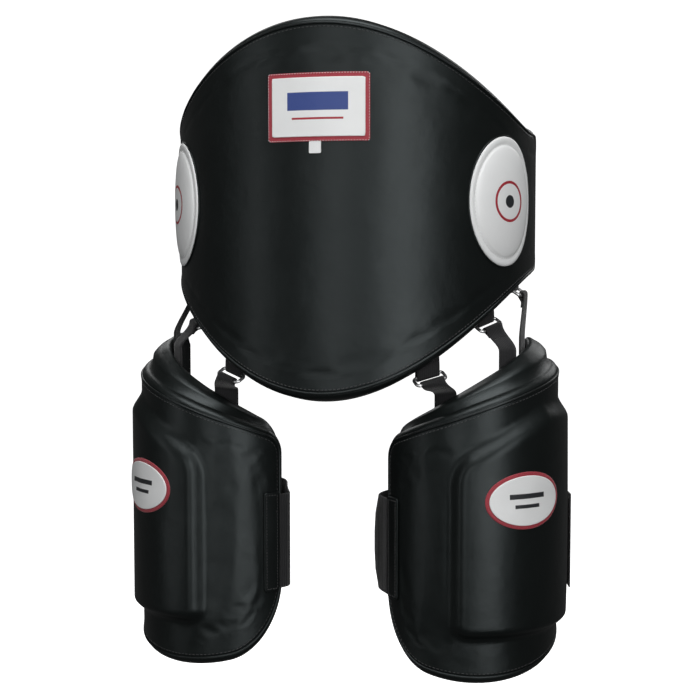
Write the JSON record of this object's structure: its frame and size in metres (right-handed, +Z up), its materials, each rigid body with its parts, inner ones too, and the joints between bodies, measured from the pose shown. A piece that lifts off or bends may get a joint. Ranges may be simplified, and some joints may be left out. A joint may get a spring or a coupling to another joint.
{
  "type": "belly shield with thigh guards",
  "caption": "Padded wrap-round belly shield with hanging thigh guards on webbing straps and metal rings, for a coach taking body and leg blows.",
  "frame": {"origin": "middle of the waist opening, level with the middle of the two side targets", "axes": "+Z up the wearer, the shield's front faces -Y, +X is to the viewer's right (the wearer's left)"},
  "size_m": [0.5196, 0.3881, 0.7169],
  "materials": {
    "black_leather": "smooth semi-gloss",
    "lining": "matt grained",
    "foam": "closed-cell foam",
    "white_leather": "smooth satin",
    "red_trim": "woven satin",
    "webbing": "woven webbing",
    "elastic": "ribbed elastic",
    "hook_and_loop": "napped",
    "ring_steel": "polished"
  },
  "bodies": {
    "shield": {"belly_front_panel": "black_leather", "belly_gusset": "black_leather", "belly_foam": "foam", "belly_lining": "lining", "belly_piping": "black_leather", "target_cover_left": "white_leather", "target_welt_left": "black_leather", "target_cover_right": "white_leather", "target_welt_right": "black_leather", "label_band": "red_trim", "label_panel": "white_leather", "size_tag": "white_leather", "tab_front_left": "webbing", "tab_side_left": "webbing", "tab_rear_left": "webbing", "tab_front_right": "webbing", "tab_side_right": "webbing", "tab_rear_right": "webbing"},
    "thigh_guard_left": {"leg_panel_left": "black_leather", "leg_gusset_left": "black_leather", "leg_foam_left": "foam", "leg_lining_left": "lining", "leg_piping_left": "black_leather", "leg_block_left": "black_leather", "emblem_rim_left": "red_trim", "emblem_left": "white_leather", "anchor_strip_left": "black_leather", "closure_strap_left": "elastic", "closure_loop_left": "hook_and_loop", "strap_front_left": "webbing", "strap_side_left": "webbing", "strap_rear_left": "webbing"},
    "closure_flap_left": {"closure_flap_left": "elastic", "closure_hook_left": "hook_and_loop"},
    "ring_front_left": {"ring_front_left": "ring_steel"},
    "ring_side_left": {"ring_side_left": "ring_steel"},
    "ring_rear_left": {"ring_rear_left": "ring_steel"},
    "thigh_guard_right": {"leg_panel_right": "black_leather", "leg_gusset_right": "black_leather", "leg_foam_right": "foam", "leg_lining_right": "lining", "leg_piping_right": "black_leather", "leg_block_right": "black_leather", "emblem_rim_right": "red_trim", "emblem_right": "white_leather", "anchor_strip_right": "black_leather", "closure_strap_right": "elastic", "closure_loop_right": "hook_and_loop", "strap_front_right": "webbing", "strap_side_right": "webbing", "strap_rear_right": "webbing"},
    "closure_flap_right": {"closure_flap_right": "elastic", "closure_hook_right": "hook_and_loop"},
    "ring_front_right": {"ring_front_right": "ring_steel"},
    "ring_side_right": {"ring_side_right": "ring_steel"},
    "ring_rear_right": {"ring_rear_right": "ring_steel"},
    "belt_left": {"belt_wing_left": "elastic", "belt_hook_panel": "hook_and_loop"},
    "belt_right": {"belt_wing_right": "elastic", "belt_loop_panel": "hook_and_loop"}
  },
  "joints": [
    {"name": "thigh_swing_left", "type": "hinge", "parent": "shield", "child": "thigh_guard_left", "pos_m": [-0.145, -0.103, -0.165], "axis": [-1, 0, 0], "range_deg": [-10, 30], "deforming": ["strap_front_left", "strap_side_left", "strap_rear_left"]},
    {"name": "closure_flap_open_left", "type": "hinge", "parent": "thigh_guard_left", "child": "closure_flap_left", "pos_m": [-0.2348, 0.0122, -0.383], "axis": [0, 0, -1], "range_deg": [0, 80]},
    {"name": "ring_front_left_swing", "type": "hinge", "parent": "shield", "child": "ring_front_left", "pos_m": [-0.10942, -0.13449, -0.18921], "axis": [-0.8244, 0.5116, 0.2419], "range_deg": [-3, 9]},
    {"name": "ring_side_left_swing", "type": "hinge", "parent": "shield", "child": "ring_side_left", "pos_m": [-0.1643, -0.08149, -0.13264], "axis": [-0.5296, 0.813, 0.2419], "range_deg": [-3, 9]},
    {"name": "ring_rear_left_swing", "type": "hinge", "parent": "shield", "child": "ring_rear_left", "pos_m": [-0.18875, -0.00849, -0.09696], "axis": [-0.0589, 0.9958, 0.0698], "range_deg": [-3, 9]},
    {"name": "thigh_swing_right", "type": "hinge", "parent": "shield", "child": "thigh_guard_right", "pos_m": [0.145, -0.103, -0.165], "axis": [-1, 0, 0], "range_deg": [-10, 30], "deforming": ["strap_front_right", "strap_side_right", "strap_rear_right"]},
    {"name": "closure_flap_open_right", "type": "hinge", "parent": "thigh_guard_right", "child": "closure_flap_right", "pos_m": [0.2348, 0.0122, -0.383], "axis": [0, 0, 1], "range_deg": [0, 80]},
    {"name": "ring_front_right_swing", "type": "hinge", "parent": "shield", "child": "ring_front_right", "pos_m": [0.10942, -0.13449, -0.18921], "axis": [-0.8244, -0.5116, -0.2419], "range_deg": [-3, 9]},
    {"name": "ring_side_right_swing", "type": "hinge", "parent": "shield", "child": "ring_side_right", "pos_m": [0.1643, -0.08149, -0.13264], "axis": [-0.5296, -0.813, -0.2419], "range_deg": [-3, 9]},
    {"name": "ring_rear_right_swing", "type": "hinge", "parent": "shield", "child": "ring_rear_right", "pos_m": [0.18875, -0.00849, -0.09696], "axis": [-0.0589, -0.9958, -0.0698], "range_deg": [-3, 9]},
    {"name": "belt_open_left", "type": "hinge", "parent": "shield", "child": "belt_left", "pos_m": [-0.1954, 0.0221, 0], "axis": [0, 0, 1], "range_deg": [0, 60]},
    {"name": "belt_open_right", "type": "hinge", "parent": "shield", "child": "belt_right", "pos_m": [0.1954, 0.0221, 0], "axis": [0, 0, -1], "range_deg": [0, 36]}
  ],
  "couplings": [
    {"joint": "ring_front_left_swing", "follows": "thigh_swing_left", "ratio": 0.3},
    {"joint": "ring_side_left_swing", "follows": "thigh_swing_left", "ratio": 0.3},
    {"joint": "ring_rear_left_swing", "follows": "thigh_swing_left", "ratio": 0.3},
    {"joint": "ring_front_right_swing", "follows": "thigh_swing_right", "ratio": 0.3},
    {"joint": "ring_side_right_swing", "follows": "thigh_swing_right", "ratio": 0.3},
    {"joint": "ring_rear_right_swing", "follows": "thigh_swing_right", "ratio": 0.3},
    {"joint": "belt_open_right", "follows": "belt_open_left", "ratio": 0.6}
  ]
}
